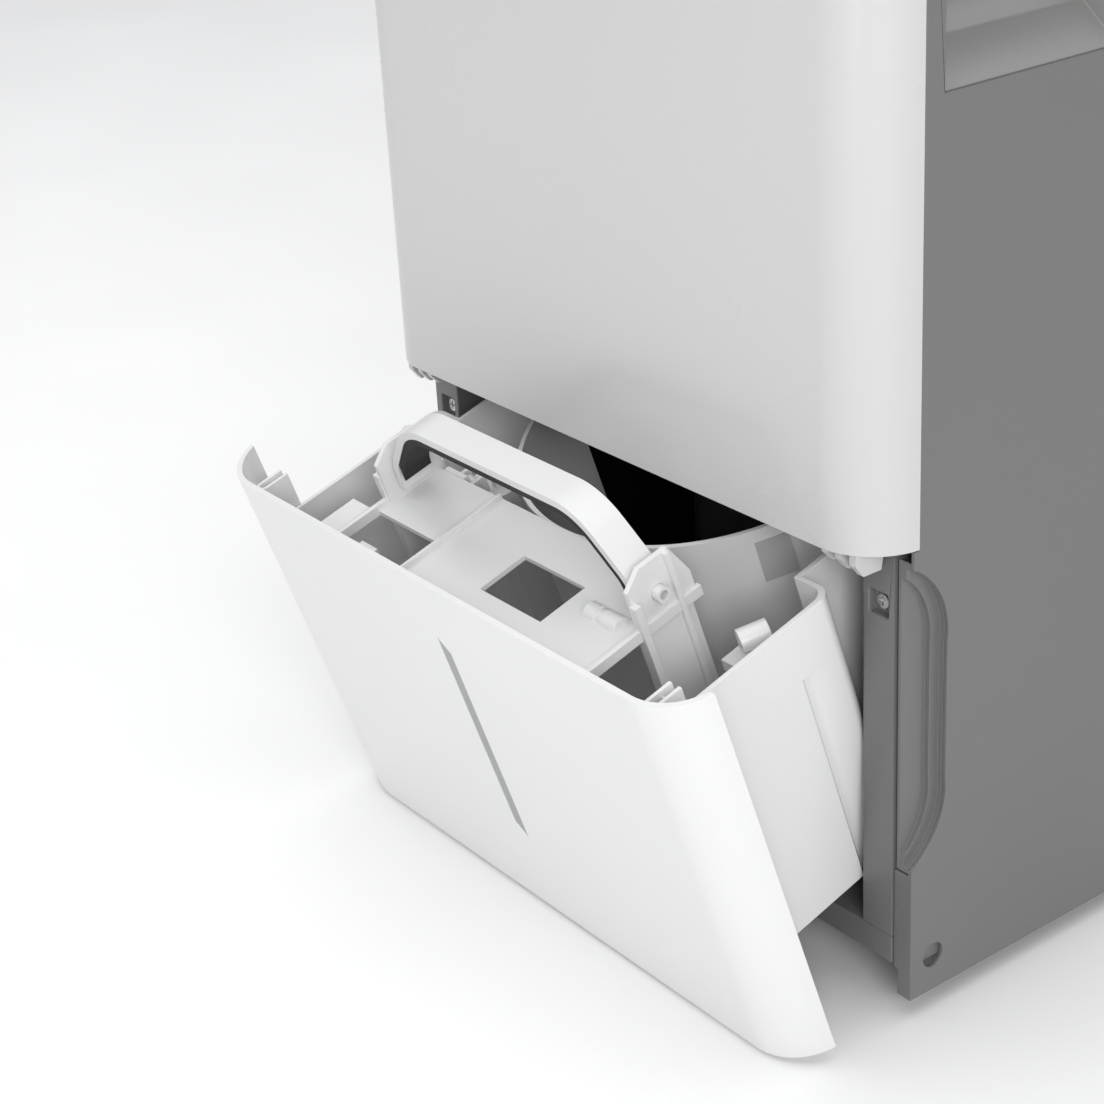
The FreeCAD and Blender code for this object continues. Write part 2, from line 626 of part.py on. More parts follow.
def filter_frame():
    """The rear intake grille, which holds the filter and tips open about its lower edge."""
    y0, y1 = DEPTH - 7, DEPTH
    gap = FILTER_GAP
    frame = intake_frame(y0, y1, FILTER_BORDER, gap)
    x = FILTER_X - gap - FILTER_BORDER + 1
    z0 = FILTER_BOTTOM + gap + FILTER_BORDER
    z1 = FILTER_TOP - gap - FILTER_BORDER
    slats = 16
    pitch = (z1 - z0) / (slats + 1)
    bars = [box(-x, x, y1 - 3, y1, z0 + pitch * (n + 1) - 1.5, z0 + pitch * (n + 1) + 1.5)
            for n in range(slats)]
    bars += [box(c - 1.5, c + 1.5, y1 - 3.5, y1, z0 - 1, z1 + 1) for c in (-64.0, 0.0, 64.0)]
    pin = rod(HINGE_PIN_R, 10, (FILTER_X - 6, HINGE_Y, HINGE_Z), (1, 0, 0))
    return joined([frame] + bars + both_sides(pin))


def filter_mesh():
    x = FILTER_X - FILTER_BORDER - 2
    return box(-x, x, DEPTH - 6.5, DEPTH - 4.0, FILTER_BOTTOM + FILTER_BORDER + 2,
               FILTER_TOP - FILTER_BORDER - 2)


# ---- casters -----------------------------------------------------------------------------------
def caster_places():
    return [(x, y) for y in (CASTER_FRONT_Y, CASTER_BACK_Y) for x in (-CASTER_X, CASTER_X)]


def caster_fork(place):
    x, y = place
    half = CASTER_WHEEL_WIDTH / 2 + 0.6
    stem = rod(CASTER_STEM_R, 4.5, (x, y, BASE_UNDERSIDE - 1), (0, 0, 1))
    plate = rod(8.5, 2.4, (x, y, BASE_UNDERSIDE - 3.0), (0, 0, 1))
    axle_y = y + CASTER_TRAIL
    axle_z = CASTER_WHEEL_R
    cheeks = []
    for side in (-1, 1):
        inner = x + side * half
        outer = x + side * (half + 2)
        cheek = box(min(inner, outer), max(inner, outer), axle_y - 5, axle_y + 4,
                    axle_z - 4, BASE_UNDERSIDE - 1.5)
        cheeks.append(cheek)
    bridge = box(x - half - 2, x + half + 2, axle_y - 5, axle_y + 4,
                 2 * CASTER_WHEEL_R + 1.0, BASE_UNDERSIDE - 1.5)
    length = CASTER_WHEEL_WIDTH + 5.2
    axle = rod(CASTER_AXLE_R, length, (x - length / 2, axle_y, axle_z), (1, 0, 0))
    return joined([stem, plate, bridge, axle] + cheeks)


def caster_wheel(place):
    x, y = place
    start = (x - CASTER_WHEEL_WIDTH / 2, y + CASTER_TRAIL, CASTER_WHEEL_R)
    wheel = rod(CASTER_WHEEL_R, CASTER_WHEEL_WIDTH, start, (1, 0, 0))
    hole = rod(CASTER_AXLE_R + RUN_GAP, 40, (x - 20, y + CASTER_TRAIL, CASTER_WHEEL_R), (1, 0, 0))
    return wheel.cut(hole)


# ---- bucket, upright in its bay ----------------------------------------------------------------
FASCIA_TOP = FASCIA_BOTTOM + FASCIA_HEIGHT
SLIT_TOP = 200.0
SLIT_BOTTOM = 72.0
SLIT_HALF = 4.0


def slit(grow, y0, y1):
    """The tall level window, its ends cut on the slant."""
    w = SLIT_HALF + grow
    points = [(-w, SLIT_BOTTOM + 4 - grow), (w, SLIT_BOTTOM - 4 - grow),
              (w, SLIT_TOP - 4 + grow), (-w, SLIT_TOP + 4 + grow)]
    return front_prism(points, y0, y1)


CURL_WALL = 2.0
CURL_WIDTH = 8.5
CURL_BOTTOM = 150.0
CURL_DROP = 8.0            # below the fascia's upper edge


def rim_curl():
    """The small channel between the tub's side rim and the fascia, with a rib across it."""
    x0 = TUB_X + GAP
    x1 = x0 + CURL_WIDTH
    y0, y1 = TUB_FRONT_Y, FASCIA_DEPTH - 0.3
    top = FASCIA_TOP - CURL_DROP
    channel = corner_outline(x0, x1, y0, y1 + 6, CURL_BOTTOM, top, 4.0)
    slot = corner_outline(x0 + CURL_WALL, x1 - CURL_WALL, y0 + CURL_WALL, y1 + 6,
                          CURL_BOTTOM - 1, top + 1, 2.0)
    rib = box(x0 + 1, x1 - 1, y0 + 10, y0 + 11.2, CURL_BOTTOM, top - 3)
    web = box(x0 + 3, x0 + 5, PANEL_WALL - 0.5, y0 + 1, CURL_BOTTOM, top - 1)
    within = box(0, HALF, 0, y1, 0, HEIGHT)
    return joined([channel.cut(slot).common(within), rib, web])


def bucket_fascia():
    outer = rounded_block(HALF, 0, FASCIA_DEPTH, FASCIA_BOTTOM, FASCIA_TOP, FRONT_CORNER_R, 0)
    inner = rounded_block(HALF - PANEL_WALL, PANEL_WALL, FASCIA_DEPTH + 5, FASCIA_BOTTOM - 1,
                          FASCIA_TOP + 1, FRONT_CORNER_R - PANEL_WALL, 0)
    return joined([outer.cut(inner).cut(slit(0, -1, PANEL_WALL + 1))] + both_sides(rim_curl()))


def level_window():
    return slit(-0.1, 0.3, PANEL_WALL)


def tub_block(inset, z0, z1):
    """The tub's plan: wide in front, narrower behind, hollowed by the round wall behind it."""
    x0, x1 = TUB_X - inset, TUB_REAR_X - inset
    y0, y1, y2 = TUB_FRONT_Y + inset, TUB_STEP_Y - inset, TUB_BACK_Y - inset
    wide = corner_outline(-x0, x0, y0, y1, z0, z1, 8.0)
    narrow = corner_outline(-x1, x1, y0 + 20, y2, z0, z1, 10.0)
    bulge = rod(BULGE_R + TUB_BULGE_GAP + inset, z1 - z0 + 2, (0, BULGE_Y, z0 - 1), (0, 0, 1))
    return joined([wide, narrow]).cut(bulge)


def side_groove(inset, top):
    """The upright groove pressed into one side wall of the tub."""
    x = TUB_X - inset
    y0 = GROOVE_Y - inset
    y1 = GROOVE_Y + GROOVE_WIDTH + inset
    return prism([(x + 2, y0), (x, y0), (x - GROOVE_DEPTH, y0 + 3), (x - GROOVE_DEPTH, y0 + 8),
                  (x, y1), (x + 2, y1)], TUB_BOTTOM - 1, top)


def tub():
    outer = tub_block(0, TUB_BOTTOM, TUB_RIM)
    inner = tub_block(TUB_WALL, TUB_BOTTOM + TUB_WALL, TUB_RIM + 1)
    for groove in both_sides(side_groove(0, GROOVE_TOP)):
        outer = outer.cut(groove)
    for groove in both_sides(side_groove(TUB_WALL, GROOVE_TOP + TUB_WALL)):
        inner = inner.cut(groove)
    ears = []
    for x in (-GLIDE_X - 8, -GLIDE_X + 6, GLIDE_X - 8, GLIDE_X + 6):
        ear = box(x, x + 2, GLIDE_Y - 5, GLIDE_Y + 5, GLIDE_Z - 4, TUB_BOTTOM + 1)
        ears.append(ear.cut(rod(GLIDE_PIN_R + RUN_GAP, 400, (-200, GLIDE_Y, GLIDE_Z), (1, 0, 0))))
    return joined([outer] + ears).cut(inner)


GROOVE_Y = 90.0
GROOVE_WIDTH = 20.0
GROOVE_DEPTH = 4.0
GROOVE_TOP = 181.0
RAIL_X = HANDLE_X + EAR_THICK / 2
WINDOW_X0, WINDOW_X1 = 3.0, 52.0
WINDOW_Y0, WINDOW_Y1 = 28.0, 57.0
PARTITION_X = -48.0
COVER_BACK_Y = 82.0
EAR_RISE = 18.0             # from the handle's pin to the ear's top
LEG_BOTTOM = 110.0


def ear():
    """The upright plate that holds one end of the handle."""
    z0 = COVER_TOP - 1
    y0, y1 = 48.0, 84.0
    top = HANDLE_PIN_Z + EAR_RISE
    plate = side_prism([(y0, z0), (y1, z0), (y1, z0 + 14), (y1 - 8, top), (y0 + 10, top),
                        (y0, top - 8)], RAIL_X - EAR_THICK, RAIL_X)
    leg = box(RAIL_X - EAR_THICK, RAIL_X, 47, 80, LEG_BOTTOM, COVER_TOP)
    ribs = [box(RAIL_X - 1, RAIL_X + 4, y0 - 1, y0 + 3, LEG_BOTTOM, HANDLE_PIN_Z + 3),
            box(RAIL_X - 1, RAIL_X + 2.5, y1 - 12, y1 - 9, LEG_BOTTOM, top - 0.5)]
    hole = rod(HANDLE_PIN_R + RUN_GAP, 400, (-200, HANDLE_PIN_Y, HANDLE_PIN_Z), (1, 0, 0))
    return joined([plate, leg] + ribs).cut(hole)


def bucket_cover():
    """The drip cover over the tub's front half, with its window, rails and the handle's ears."""
    z1 = COVER_TOP
    z0 = z1 - COVER_WALL
    y0 = PANEL_WALL + GAP
    plate = box(PARTITION_X, RAIL_X, y0 + 4, COVER_BACK_Y, z0, z1)
    plate = plate.cut(box(WINDOW_X0, WINDOW_X1, WINDOW_Y0, WINDOW_Y1, z0 - 1, z1 + 1))
    apron = box(-TUB_X + 4, TUB_X - 4, TUB_FRONT_Y + 0.0, TUB_FRONT_Y + 5, TUB_RIM + 0.5, z1)
    left = box(-RAIL_X, PARTITION_X + 1, 40, COVER_BACK_Y, z0, z1)
    rail = [box(s * RAIL_X - 1.5, s * RAIL_X + 1.5, y0 + 4, 86, z0, z1 + 3) for s in (-1, 1)]
    boss = [rod(r, length, (x, 47, z1 - 1), (1, 0, 0))
            for r, x, length in ((5.5, 68, 8), (4.3, 75, 6), (5.5, 80, 12))]
    lip = box(PARTITION_X, RAIL_X, TUB_FRONT_Y, TUB_FRONT_Y + 8, z0, z1 + 2.5)
    clips = [box(-86, -72, TUB_FRONT_Y + 3, TUB_FRONT_Y + 12, z1 - 8, z1 + 2.5),
             box(-128, -112, TUB_FRONT_Y, 40, z1 - 3.4, z1 - 1)]
    wall = box(PARTITION_X, PARTITION_X + 2, y0 + 4, COVER_BACK_Y, z0, z1 + 3)
    return joined([plate, apron, left, wall, lip] + boss + clips + rail + both_sides(ear()))


def hose_clip():
    """The open arch inside the tub's right wall that stows the drain hose."""
    r = 6.5
    length = 15.0
    z = CLIP_Z
    arch = joined([rod(r, length, (0, 0, z), (0, 1, 0)), box(-r, r, 0, length, z - 10, z)])
    hollow = joined([rod(r - 2, length + 2, (0, -1, z), (0, 1, 0)),
                     box(2 - r, r - 2, -1, length + 1, z - 7, z)])
    slot = box(r - 3, r + 1, -1, 5, z - 7, z - 2)
    arch = arch.cut(hollow).cut(slot)
    arch.rotate(Vec(0, 0, 0), Vec(0, 0, 1), -CLIP_TURN)
    arch.translate(Vec(CLIP_X, CLIP_Y, 0))
    shelf = box(CLIP_X - 9, TUB_X - TUB_WALL, CLIP_Y - 7, CLIP_Y + 8, z - 16, z - 9)
    return joined([arch, shelf])


CLIP_X = 132.0
CLIP_Y = 80.0
CLIP_Z = 200.0
CLIP_TURN = 25.0


FLOAT_X = -90.0              # just inside the left ear of the handle
FLOAT_PIVOT_Y = 91.0
FLOAT_PIVOT_Z = 205.0
FLOAT_PIN_R = 1.5
FLOAT_HUB_R = 3.5
FLOAT_HUB_HALF = 4.0
FLOAT_ARM_HALF = 2.0
FLOAT_Y = 104.0
FLOAT_R = 11.0
FLOAT_BOTTOM = 172.0
FLOAT_HEIGHT = 22.0


def level_float():
    """The float on its arm, hung from the bracket."""
    x = FLOAT_X
    half = FLOAT_ARM_HALF
    start = (x - FLOAT_HUB_HALF, FLOAT_PIVOT_Y, FLOAT_PIVOT_Z)
    hub = rod(FLOAT_HUB_R, 2 * FLOAT_HUB_HALF, start, (1, 0, 0))
    arm = box(x - half, x + half, FLOAT_PIVOT_Y, FLOAT_Y + half, FLOAT_PIVOT_Z - half, FLOAT_PIVOT_Z + half)
    stem = box(x - half, x + half, FLOAT_Y - half, FLOAT_Y + half, FLOAT_BOTTOM + FLOAT_R, FLOAT_PIVOT_Z)
    ball = rod(FLOAT_R, FLOAT_HEIGHT, (x, FLOAT_Y, FLOAT_BOTTOM), (0, 0, 1))
    hole = rod(FLOAT_PIN_R + RUN_GAP, 2 * FLOAT_HUB_HALF, start, (1, 0, 0))
    return joined([hub, arm, stem, ball]).cut(hole)


def float_bracket():
    """A bracket on the cover's rear edge that carries the float's pin."""
    x = FLOAT_X
    plate = box(x - 9, x + 9, COVER_BACK_Y + 0.1, COVER_BACK_Y + 3.1, 200, COVER_TOP)
    cheeks = [box(x + a, x + a + 2.5, COVER_BACK_Y + 2, FLOAT_PIVOT_Y + 4, 200, 210)
              for a in (-8.0, 5.5)]
    pin = rod(FLOAT_PIN_R, 16, (x - 8, FLOAT_PIVOT_Y, FLOAT_PIVOT_Z), (1, 0, 0))
    return joined([plate, pin] + cheeks)


def glides():
    """The two shoes on which the bucket runs and tips."""
    shoes = []
    for s in (-1, 1):
        x = s * GLIDE_X
        shoe = box(x - 5.6, x + 5.6, GLIDE_Y - GLIDE_HALF, GLIDE_Y + GLIDE_HALF,
                   GLIDE_Z - GLIDE_HALF, GLIDE_Z + GLIDE_PIN_R)
        pin = rod(GLIDE_PIN_R, 16, (x - 8, GLIDE_Y, GLIDE_Z), (1, 0, 0))
        shoes.append(joined([shoe, pin]))
    return shoes


def strap_outline(offset):
    """The handle's arch in X and Z as a list of points, offset inwards by a thickness."""
    slope = math.atan2(HANDLE_RISE - KNEE_RISE, SHOULDER_RUN)
    side = HANDLE_X - EAR_THICK - 1.5
    knee = HANDLE_PIN_Z + KNEE_RISE - offset * math.tan((math.pi / 2 - slope) / 2)
    shoulder = side - SHOULDER_RUN - offset * math.tan(slope / 2)
    side -= offset
    top = HANDLE_PIN_Z + HANDLE_RISE - offset
    foot = HANDLE_PIN_Z - STRAP_FOOT
    return [(-side, foot), (-side, knee), (-shoulder, top), (shoulder, top), (side, knee), (side, foot)]


def bend_edges(shape, points):
    """The edges that run from front to back through the given X and Z places."""
    return [e for e in shape.Edges
            if abs(e.BoundBox.XLength) < 1e-6 and abs(e.BoundBox.ZLength) < 1e-6
            and any(math.hypot(e.Vertexes[0].X - x, e.Vertexes[0].Z - z) < 1e-3 for x, z in points)]


def arch(offset, thickness, half_depth):
    """A bent strip that follows the handle's outline, offset inwards."""
    outer = strap_outline(offset)
    inner = strap_outline(offset + thickness)
    strip = front_prism(outer + inner[::-1], HANDLE_PIN_Y - half_depth, HANDLE_PIN_Y + half_depth)
    for outline, shrink in ((outer, offset), (inner, offset + thickness)):
        strip = strip.makeFillet(SHOULDER_R - shrink, bend_edges(strip, outline[2:4]))
        strip = strip.makeFillet(KNEE_R - shrink, bend_edges(strip, [outline[1], outline[4]]))
    return strip


def handle_bow():
    bow = arch(0, STRAP_THICK, STRAP_DEPTH / 2)
    pins = []
    for s in (-1, 1):
        start = (s * (HANDLE_X - EAR_THICK - 6), HANDLE_PIN_Y, HANDLE_PIN_Z)
        pin = rod(HANDLE_PIN_R, EAR_THICK + 6 + PIN_STAND, start, (s, 0, 0))
        socket = rod(PIN_SOCKET_R, PIN_STAND + 5, (s * (HANDLE_X + 1), HANDLE_PIN_Y, HANDLE_PIN_Z),
                     (s, 0, 0))
        pins.append(pin.cut(socket))
    return joined([bow] + pins)


SHOULDER_R = 34.0
KNEE_R = 22.0
PIN_SOCKET_R = 2.4
PIN_STAND = 6.0            # how far the hollow pin stands out of the ear
KNEE_RISE = 8.0            # from the pin to where the strap leans inwards
SHOULDER_RUN = 28.0
STRAP_FOOT = 7.0
RUBBER_THICK = 4.0
RUBBER_HALF = 91.0


def handle_grip():
    """The rubber strip under the handle, which follows its bend."""
    strip = arch(STRAP_THICK, RUBBER_THICK, STRAP_DEPTH / 2 - 0.3)
    return strip.common(box(-RUBBER_HALF, RUBBER_HALF, 0, DEPTH, HANDLE_PIN_Z, HEIGHT))


# ---- assembly ----------------------------------------------------------------------------------
def housing_nodes():
    shell = cabinet_shell()
    nodes = {
        "front_panel": [front_panel()],
        "cabinet_back": [cabinet_back(shell)],
        "top_cover": [top_cover()],
        "outlet_grille": [outlet_grille()],
        "control_panel": [control_panel()],
        "display_window": [display_window()],
        "control_board": [control_board()],
        "base_pan": [base_pan()],
        "bay_liner": [bay_liner()],
        "bucket_switch": [bucket_switch()],
        "drip_tray": [drip_tray()],
        "evaporator": [evaporator()],
        "condenser": [condenser()],
        "compressor": [compressor()],
        "compressor_feet": compressor_feet(),
        "accumulator": [accumulator()],
        "fan_scroll": [fan_scroll()],
        "fan_motor": [fan_motor()],
        "blower_wheel": [blower_wheel()],
        "power_board": [power_board()],
        "run_capacitor": [run_capacitor()],
        "humidity_sensor": [humidity_sensor()],
        "drain_port": [drain_port()],
        "cord_inlet": [cord_inlet()],
        "filter_frame": [filter_frame()],
        "filter_mesh": [filter_mesh()],
        "column_screws": both_sides(column_screw()),
    }
    for name, shape in (("side", cabinet_side(shell)), ("column", column()), ("grip_pan", grip_pan()),
                        ("handle_cup", handle_cup())):
        right, left = both_sides(shape)
        nodes["right_" + name] = [right]
        nodes["left_" + name] = [left]
    for n in range(BUTTON_COUNT):
        nodes["button_%d" % (n + 1)] = [button(n)]
    corners = ("front_left", "front_right", "rear_left", "rear_right")
    for corner, place in zip(corners, caster_places()):
        nodes["caster_fork_" + corner] = [caster_fork(place)]
        nodes["caster_wheel_" + corner] = [caster_wheel(place)]
    return nodes


def bucket_nodes():
    return {
        "tub": [tub()],
        "bucket_fascia": [bucket_fascia()],
        "level_window": [level_window()],
        "bucket_cover": [bucket_cover()],
        "hose_clip": [hose_clip()],
        "float_bracket": [float_bracket()],
        "level_float": [level_float()],
        "handle_bow": [handle_bow()],
        "handle_grip": [handle_grip()],
    }


def draw_out(shape):
    """Moves a bucket piece from its closed place to its rest place: drawn out and tipped."""
    moved = shape.copy()
    moved.rotate(Vec(0, GLIDE_Y, GLIDE_Z), Vec(1, 0, 0), TILT)
    moved.translate(Vec(0, GLIDE_OUT_Y - GLIDE_Y, GLIDE_OUT_Z - GLIDE_Z))
    return moved


def slide_out(shape):
    moved = shape.copy()
    moved.translate(Vec(0, GLIDE_OUT_Y - GLIDE_Y, GLIDE_OUT_Z - GLIDE_Z))
    return moved


def all_nodes():
    nodes = housing_nodes()
    for name, shapes in bucket_nodes().items():
        nodes[name] = [draw_out(s) for s in shapes]
    nodes["bucket_glides"] = [slide_out(s) for s in glides()]
    return nodes


def base_centre(nodes):
    """The middle of the base of the whole model's bounding box."""
    boxes = [s.optimalBoundingBox() for shapes in nodes.values() for s in shapes]
    x = (min(b.XMin for b in boxes) + max(b.XMax for b in boxes)) / 2
    y = (min(b.YMin for b in boxes) + max(b.YMax for b in boxes)) / 2
    return Vec(x, y, min(b.ZMin for b in boxes))


def main():
    os.makedirs("parts", exist_ok=True)
    nodes = all_nodes()
    origin = base_centre(nodes)
    for name, shapes in sorted(nodes.items()):
        for shape in shapes:
            shape.translate(-origin)
        whole = shapes[0] if len(shapes) == 1 else Part.makeCompound(shapes)
        if not whole.isValid():
            print("not valid:", name)
        print("%-28s solids %d volume %.0f" % (name, len(whole.Solids), whole.Volume))
        whole.exportStep(os.path.join("parts", name + ".step"))
    print("origin", origin)


if __name__ == "__main__":
    main()
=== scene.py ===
import json
import math

import bmesh
import bpy
from mathutils import Matrix, Vector


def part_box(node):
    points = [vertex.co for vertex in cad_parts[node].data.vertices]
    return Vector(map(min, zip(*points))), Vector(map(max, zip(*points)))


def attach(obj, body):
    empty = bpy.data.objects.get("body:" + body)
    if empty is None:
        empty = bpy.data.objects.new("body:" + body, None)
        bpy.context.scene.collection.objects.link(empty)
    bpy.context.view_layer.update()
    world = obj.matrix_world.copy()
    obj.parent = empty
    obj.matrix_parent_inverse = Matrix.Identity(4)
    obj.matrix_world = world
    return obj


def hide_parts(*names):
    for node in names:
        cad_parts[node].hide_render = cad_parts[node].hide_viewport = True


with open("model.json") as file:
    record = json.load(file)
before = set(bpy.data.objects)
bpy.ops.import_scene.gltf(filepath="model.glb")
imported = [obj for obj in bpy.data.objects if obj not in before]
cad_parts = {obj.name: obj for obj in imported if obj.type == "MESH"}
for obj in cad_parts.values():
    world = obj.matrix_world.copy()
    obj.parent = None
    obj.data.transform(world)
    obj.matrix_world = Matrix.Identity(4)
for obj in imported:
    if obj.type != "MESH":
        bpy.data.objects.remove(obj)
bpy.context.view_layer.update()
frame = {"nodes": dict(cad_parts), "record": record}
nodes = frame["nodes"]
record = frame["record"]
BODY_OF = {n: b for b, names in record["behaviour"]["bodies"].items() for n in names}
SLOT_OF = {part["node"]: part["material_slot"] for part in record["subparts"]}
MM = 0.001


def link(obj):
    bpy.context.scene.collection.objects.link(obj)


# ---- materials -----------------------------------------------------------------------------------
def new_material(name):
    mat = bpy.data.materials.new(name)
    mat.use_nodes = True
    nt = mat.node_tree
    return mat, nt, nt.nodes["Principled BSDF"]


def add(nt, kind, **values):
    """A new shader node with its sockets or settings set by name."""
    node = nt.nodes.new(kind)
    for key, value in values.items():
        if key in node.inputs:
            node.inputs[key].default_value = value
        else:
            setattr(node, key, value)
    return node


def object_noise(nt, scale, detail=3.0, rough=0.55):
    """Noise that sits on the object, so that it moves with its body."""
    coords = add(nt, "ShaderNodeTexCoord")
    noise = add(nt, "ShaderNodeTexNoise", Scale=scale, Detail=detail, Roughness=rough)
    nt.links.new(coords.outputs["Object"], noise.inputs["Vector"])
    return noise


def ramp(nt, source, low, high, start=0.3, end=0.7):
    """Spreads source from the span start to end over the span low to high."""
    node = add(nt, "ShaderNodeMapRange")
    node.inputs["From Min"].default_value = start
    node.inputs["From Max"].default_value = end
    node.inputs["To Min"].default_value = low
    node.inputs["To Max"].default_value = high
    nt.links.new(source, node.inputs["Value"])
    return node.outputs["Result"]


MIX_FACTOR = 0
MIX_FIRST_COLOUR = 6
MIX_SECOND_COLOUR = 7
MIX_RESULT = 2


def tint(nt, factor, dark, light):
    """A colour between dark and light."""
    mix = add(nt, "ShaderNodeMix", data_type="RGBA")
    mix.inputs[MIX_FIRST_COLOUR].default_value = (*dark, 1)
    mix.inputs[MIX_SECOND_COLOUR].default_value = (*light, 1)
    nt.links.new(factor, mix.inputs[MIX_FACTOR])
    return mix.outputs[MIX_RESULT]


def grey(level):
    return (level, level, level)


DRIFT_SCALE = 5.0            # slow change of colour over a moulded surface
SMUDGE_SCALE = 11.0          # slow change of gloss
BUMP_STRENGTH = 0.25
COAT_ROUGHNESS = 0.12
GRAIN = 900.0                # fine moulding grain


def plastic(name, dark, light, rough, grain=GRAIN, depth=0.0, coat=0.0):
    """Moulded plastic: slow colour drift, uneven gloss and, where it has a depth, a fine grain."""
    mat, nt, bsdf = new_material(name)
    drift = object_noise(nt, DRIFT_SCALE, 0.0)
    colour = tint(nt, ramp(nt, drift.outputs["Fac"], 0, 1, 0, 1), dark, light)
    nt.links.new(colour, bsdf.inputs["Base Color"])
    smudge = object_noise(nt, SMUDGE_SCALE, 0.0)
    nt.links.new(ramp(nt, smudge.outputs["Fac"], rough[0], rough[1], 0, 1), bsdf.inputs["Roughness"])
    if depth > 0:
        fine = object_noise(nt, grain, 2.0)
        bump = add(nt, "ShaderNodeBump", Strength=BUMP_STRENGTH, Distance=depth)
        nt.links.new(fine.outputs["Fac"], bump.inputs["Height"])
        nt.links.new(bump.outputs["Normal"], bsdf.inputs["Normal"])
    if coat > 0:
        bsdf.inputs["Coat Weight"].default_value = coat
        bsdf.inputs["Coat Roughness"].default_value = COAT_ROUGHNESS
    return mat


METAL_DRIFT_SCALE = 60.0
BRUSH_SCALE = 400.0


def metal(name, dark, light, rough=(0.25, 0.45)):
    """Bare metal with a slow colour drift and a finely uneven gloss."""
    mat, nt, bsdf = new_material(name)
    drift = object_noise(nt, METAL_DRIFT_SCALE)
    nt.links.new(tint(nt, ramp(nt, drift.outputs["Fac"], 0, 1), dark, light), bsdf.inputs["Base Color"])
    bsdf.inputs["Metallic"].default_value = 1.0
    brush = object_noise(nt, BRUSH_SCALE, 2.0)
    nt.links.new(ramp(nt, brush.outputs["Fac"], rough[0], rough[1]), bsdf.inputs["Roughness"])
    return mat


CASE_GRAIN = 0.00006          # depth of the grain on the grey parts, in metres
# The panel white is darker than the bucket white: painted shade for the panel, which faces away from the
# light.
PANEL_WHITE_SHADED = plastic("panel_white_painted_shade", (0.525, 0.525, 0.53), grey(0.55), (0.26, 0.3), coat=0.2)
BUCKET_WHITE = plastic("bucket_white", grey(0.70), grey(0.73), (0.3, 0.36), coat=0.1)
GREY = plastic("grey_case", grey(0.14), grey(0.155), (0.3, 0.38), depth=CASE_GRAIN)
# Case grey lightened for the handle cups: painted light on their upward facing floor.
CUP_GREY_PAINTED_LIGHT = plastic("cup_grey_painted_light", (0.28, 0.28, 0.275), (0.31, 0.31, 0.305), (0.36, 0.44), depth=CASE_GRAIN)
TRIM = plastic("grey_trim", (0.10, 0.10, 0.104), (0.125, 0.125, 0.128), (0.4, 0.52), depth=CASE_GRAIN)
# Black bay liner, made near zero black so that it also paints the deep shade inside the bucket bay.
LINER_BLACK_AND_SHADE = plastic("black_liner", grey(0.004), grey(0.007), (0.55, 0.7), depth=0.00005)
RUBBER = plastic("black_rubber", grey(0.012), grey(0.022), (0.6, 0.75), grain=1400.0, depth=0.0001)
WINDOW = plastic("level_window", (0.27, 0.28, 0.28), (0.31, 0.31, 0.32), (0.3, 0.4))
DISPLAY = plastic("display", (0.005, 0.005, 0.006), (0.01, 0.01, 0.011), (0.05, 0.09), coat=0.6)
BOARD = plastic("board_green", (0.01, 0.09, 0.03), (0.02, 0.14, 0.05), (0.3, 0.45))
PAINT = plastic("compressor_paint", (0.008, 0.008, 0.009), (0.015, 0.015, 0.016), (0.25, 0.4), coat=0.3)
STEEL = metal("steel", (0.45, 0.45, 0.46), (0.62, 0.62, 0.63))
FINS = metal("aluminium_fins", (0.6, 0.61, 0.62), (0.78, 0.79, 0.8), (0.3, 0.5))
MESH_BLACK = plastic("filter_mesh", grey(0.02), grey(0.04), (0.6, 0.8), grain=600.0, depth=0.0003)

SLOT_MATERIAL = {"white_panel": PANEL_WHITE_SHADED, "white_bucket": BUCKET_WHITE, "grey_case": GREY, "grey_trim": TRIM,
                 "black_liner": LINER_BLACK_AND_SHADE, "window": WINDOW, "black_rubber": RUBBER, "tyre": RUBBER,
                 "steel": STEEL, "compressor_paint": PAINT, "aluminium_fins": FINS,
                 "board_green": BOARD, "display": DISPLAY, "screen_mesh": MESH_BLACK}

for node_name, node in nodes.items():
    for place in node.material_slots:
        place.material = SLOT_MATERIAL[SLOT_OF[node_name]]


# ---- mesh helpers ----------------------------------------------------------------------------------
SHARP_ANGLE = math.radians(30)
FLAT_ANGLE = math.radians(0.6)        # faces closer than this in direction are joined into one
MERGE_DISTANCE = 1e-6
EDGE_SEGMENTS = 2
FACE_AREA_WEIGHT = 100


def finish_object(name, mesh, body, mat):
    """An object for the mesh, which rides on a body and takes a material slot."""
    obj = bpy.data.objects.new(name, mesh)
    link(obj)
    mesh.materials.append(mat)
    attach(obj, body)
    return obj


def soften(obj, width):
    """Rounds the sharp edges of an object by width, if any, with clean shading."""
    for face in obj.data.polygons:
        face.use_smooth = True
    if width > 0:
        bevel = obj.modifiers.new("edge", "BEVEL")
        bevel.width = width
        bevel.segments = EDGE_SEGMENTS
        bevel.limit_method = "ANGLE"
        bevel.angle_limit = SHARP_ANGLE
        bevel.use_clamp_overlap = True
        bevel.miter_outer = "MITER_ARC"
    weighted = obj.modifiers.new("flats", "WEIGHTED_NORMAL")
    weighted.weight = FACE_AREA_WEIGHT
    weighted.keep_sharp = True


